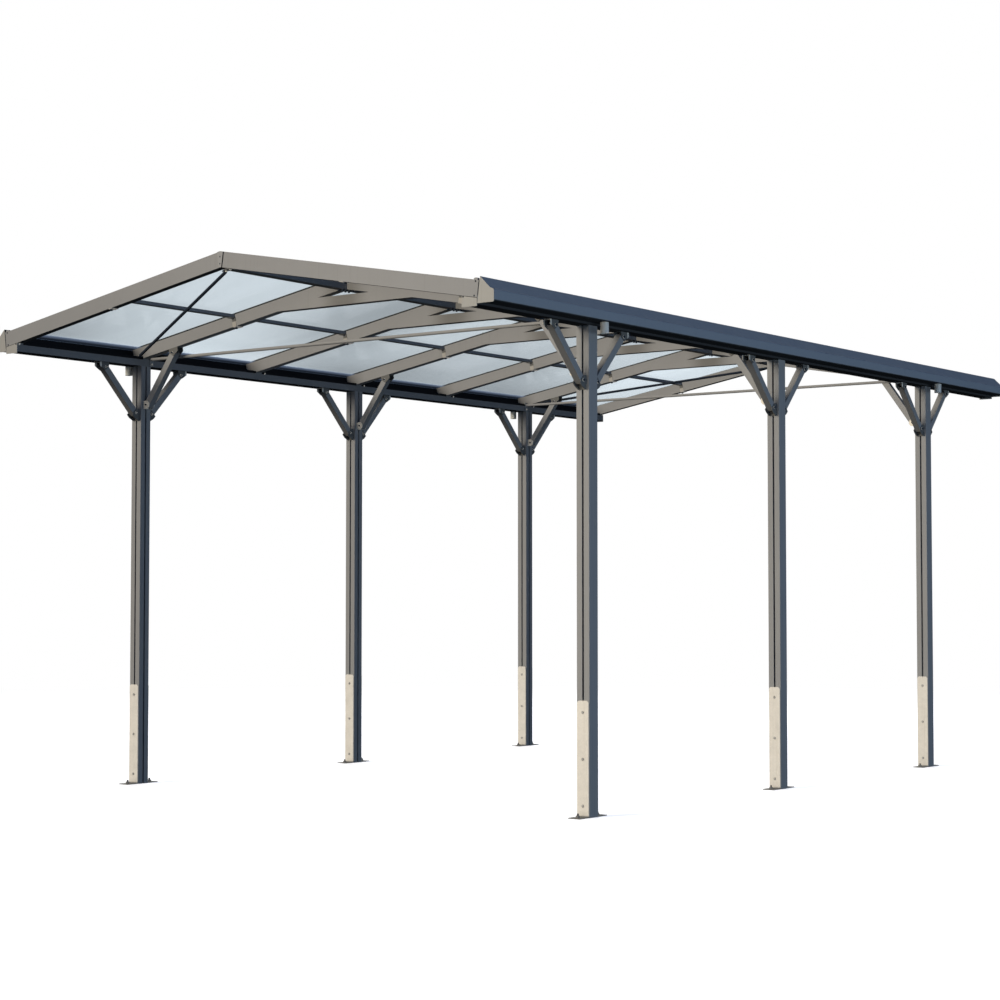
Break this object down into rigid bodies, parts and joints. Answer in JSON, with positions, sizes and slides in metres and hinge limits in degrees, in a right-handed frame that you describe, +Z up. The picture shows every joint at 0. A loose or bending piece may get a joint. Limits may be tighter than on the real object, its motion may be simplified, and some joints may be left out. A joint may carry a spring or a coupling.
{
  "type": "carport",
  "caption": "Free-standing open carport: slotted metal posts on anchor feet, braced eave beams with gutters, and a low gabled roof of clear panels on trusses.",
  "frame": {"origin": "on the floor, midway between the middle pair of posts, under the ridge", "axes": "+X across the bay to the right, +Y along the carport from the front gable to the rear one, +Z up"},
  "size_m": [3.013, 5.048, 2.471],
  "materials": {
    "grey_paint": "satin powder coat on extruded aluminium",
    "dark_paint": "dark satin powder coat on steel rod",
    "galvanised_steel": "dull hot-dip zinc with faint spangle",
    "clear_panel": "clear ribbed twin-wall sheet",
    "outlet_plastic": "light grey moulded plastic"
  },
  "bodies": {
    "root": {"front_cross_tie": "grey_paint", "front_diagonal_rods": "dark_paint", "front_left_foot": "galvanised_steel", "front_left_knee_braces": "grey_paint", "front_left_post": "grey_paint", "front_left_rake": "grey_paint", "front_right_foot": "galvanised_steel", "front_right_knee_braces": "grey_paint", "front_right_post": "grey_paint", "front_right_rake": "grey_paint", "gable_apex_plates": "grey_paint", "left_brace_brackets": "grey_paint", "left_cover_strips": "grey_paint", "left_eave_beam": "grey_paint", "left_eave_end_caps": "grey_paint", "left_gutter": "grey_paint", "left_gutter_outlets": "outlet_plastic", "left_purlin_saddles": "galvanised_steel", "left_purlins": "grey_paint", "left_rafters": "grey_paint", "left_roof_panels": "clear_panel", "middle_left_foot": "galvanised_steel", "middle_left_knee_braces": "grey_paint", "middle_left_post": "grey_paint", "middle_right_foot": "galvanised_steel", "middle_right_knee_braces": "grey_paint", "middle_right_post": "grey_paint", "rear_cross_tie": "grey_paint", "rear_diagonal_rods": "dark_paint", "rear_left_foot": "galvanised_steel", "rear_left_knee_braces": "grey_paint", "rear_left_post": "grey_paint", "rear_left_rake": "grey_paint", "rear_right_foot": "galvanised_steel", "rear_right_knee_braces": "grey_paint", "rear_right_post": "grey_paint", "rear_right_rake": "grey_paint", "ridge_beam": "grey_paint", "ridge_cap": "grey_paint", "right_brace_brackets": "grey_paint", "right_cover_strips": "grey_paint", "right_eave_beam": "grey_paint", "right_eave_end_caps": "grey_paint", "right_gutter": "grey_paint", "right_gutter_outlets": "outlet_plastic", "right_purlin_saddles": "galvanised_steel", "right_purlins": "grey_paint", "right_rafters": "grey_paint", "right_roof_panels": "clear_panel", "truss_collars": "grey_paint"}
  },
  "joints": []
}
